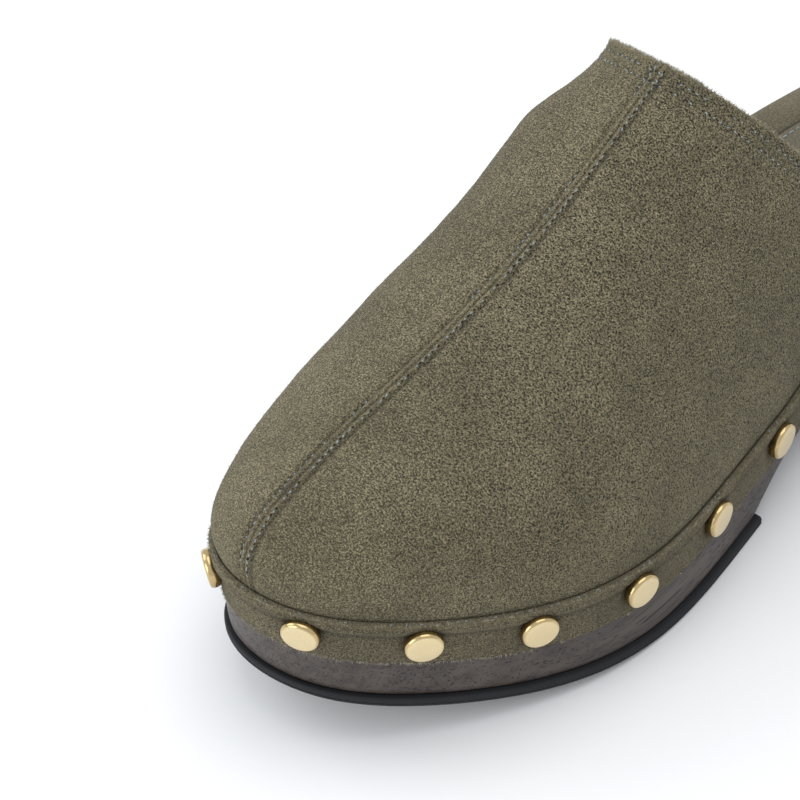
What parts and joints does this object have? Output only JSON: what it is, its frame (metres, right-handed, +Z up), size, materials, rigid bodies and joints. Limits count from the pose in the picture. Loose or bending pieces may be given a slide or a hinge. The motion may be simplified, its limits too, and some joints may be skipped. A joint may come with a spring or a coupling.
{
  "type": "clog mule",
  "caption": "Closed-toe slip-on clog: suede vamp with a centre seam, studded rand, thick wooden sole with a block heel, open back.",
  "frame": {"origin": "middle of the shoe's outer box, on the ground plane", "axes": "+Z up, -Y towards the toe, +X towards the lateral (little-toe) side of this left shoe"},
  "size_m": [0.1074, 0.2588, 0.1245],
  "materials": {
    "wood": "dark stained wood, satin",
    "rubber": "matte black",
    "suede": "olive suede, napped",
    "lining_leather": "smooth pale leather",
    "stiffener": "pressed board",
    "sock_leather": "smooth olive leather",
    "foam": "soft foam",
    "brass": "polished"
  },
  "bodies": {
    "root": {"wood_sole": "wood", "forefoot_outsole": "rubber", "heel_top_lift": "rubber", "upper_lateral": "suede", "upper_medial": "suede", "rand_strip": "suede", "heel_wrap_band": "suede", "vamp_lining": "lining_leather", "toe_puff": "stiffener", "footbed_sock": "sock_leather", "footbed_foam": "foam", "stud_01": "brass", "stud_02": "brass", "stud_03": "brass", "stud_04": "brass", "stud_05": "brass", "stud_06": "brass", "stud_07": "brass", "stud_08": "brass", "stud_09": "brass", "stud_10": "brass", "stud_11": "brass", "stud_12": "brass", "stud_13": "brass", "stud_14": "brass"}
  },
  "joints": []
}
